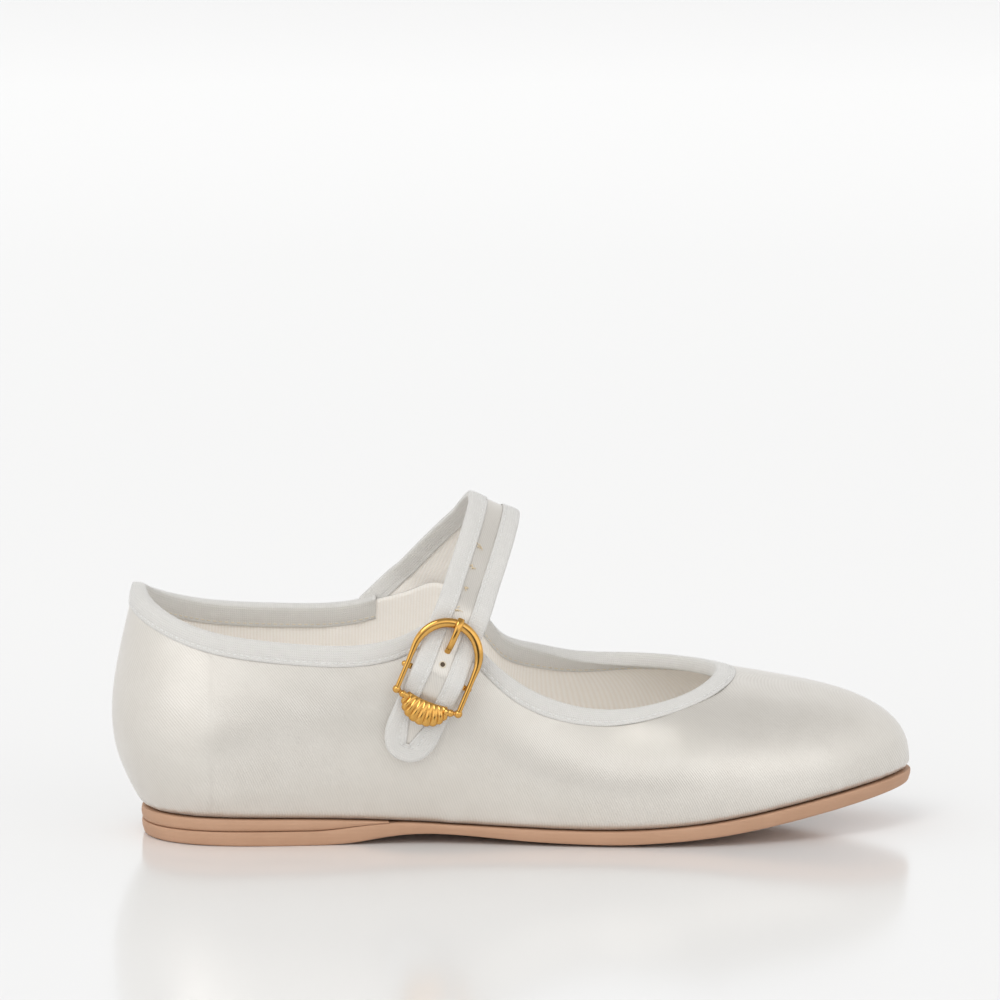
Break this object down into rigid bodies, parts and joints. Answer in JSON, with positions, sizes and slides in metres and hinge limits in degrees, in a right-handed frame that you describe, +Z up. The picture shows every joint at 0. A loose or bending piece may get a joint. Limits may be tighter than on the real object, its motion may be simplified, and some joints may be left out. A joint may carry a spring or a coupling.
{
  "type": "child's bar shoe",
  "caption": "Flat satin child's shoe with a round throat, a taped topline, an instep strap and a small buckle on the outer side, on a thin sole with a low spring heel.",
  "frame": {"origin": "middle of the bounding box in plan, on the plane the sole stands on", "axes": "+X from heel to toe, +Y to the inner (medial) side, +Z up"},
  "size_m": [0.1884, 0.0691, 0.0798],
  "materials": {
    "ivory_satin": "ivory satin weave, soft sheen",
    "woven_lining": "cream ribbed textile",
    "binding_tape": "cool white ribbed tape, edge stitched",
    "stiffener_board": "resin-stiffened non-woven, matt",
    "insole_fibreboard": "cellulose insole board, matt",
    "cork_filler": "granulated cork, matt",
    "sock_textile": "cream textile over foam",
    "sock_foam": "soft latex foam",
    "shank_steel": "spring steel strip",
    "sole_resin": "tan sole leather, matt, lightly brushed",
    "buckle_gold": "pale gold plate, polished"
  },
  "bodies": {
    "shoe": {"upper_satin": "ivory_satin", "quarter_lining": "woven_lining", "vamp_lining": "woven_lining", "heel_counter": "stiffener_board", "toe_puff": "stiffener_board", "topline_binding": "binding_tape", "topline_tape": "stiffener_board", "outsole": "sole_resin", "heel_wedge": "sole_resin", "insole_board": "insole_fibreboard", "sock_foam": "sock_foam", "sock_cover": "sock_textile", "bottom_filler": "cork_filler", "shank": "shank_steel"},
    "strap": {"strap_satin": "ivory_satin", "strap_core": "stiffener_board", "strap_lining": "woven_lining", "strap_binding": "binding_tape"},
    "loop": {"buckle_loop": "ivory_satin"},
    "buckle": {"buckle_frame": "buckle_gold", "buckle_bar": "buckle_gold"},
    "tongue": {"buckle_tongue": "buckle_gold"}
  },
  "joints": [
    {"name": "strap_opens", "type": "hinge", "parent": "shoe", "child": "strap", "pos_m": [-0.01597, 0.02464, 0.05017], "axis": [-0.9205, 0, 0.3907], "range_deg": [0, 95], "deforming": ["strap_satin", "strap_core", "strap_lining", "strap_binding"]},
    {"name": "loop_lifts", "type": "hinge", "parent": "shoe", "child": "loop", "pos_m": [-0.02387, -0.02867, 0.03156], "axis": [0.9205, 0, -0.3907], "range_deg": [0, 70], "deforming": ["buckle_loop"]},
    {"name": "buckle_tips", "type": "hinge", "parent": "loop", "child": "buckle", "pos_m": [-0.02007, -0.03026, 0.0405], "axis": [0.9205, 0, -0.3907], "range_deg": [0, 18]},
    {"name": "tongue_turns", "type": "hinge", "parent": "buckle", "child": "tongue", "pos_m": [-0.02007, -0.03026, 0.0405], "axis": [0.9205, 0, -0.3907], "range_deg": [0, 130]}
  ]
}
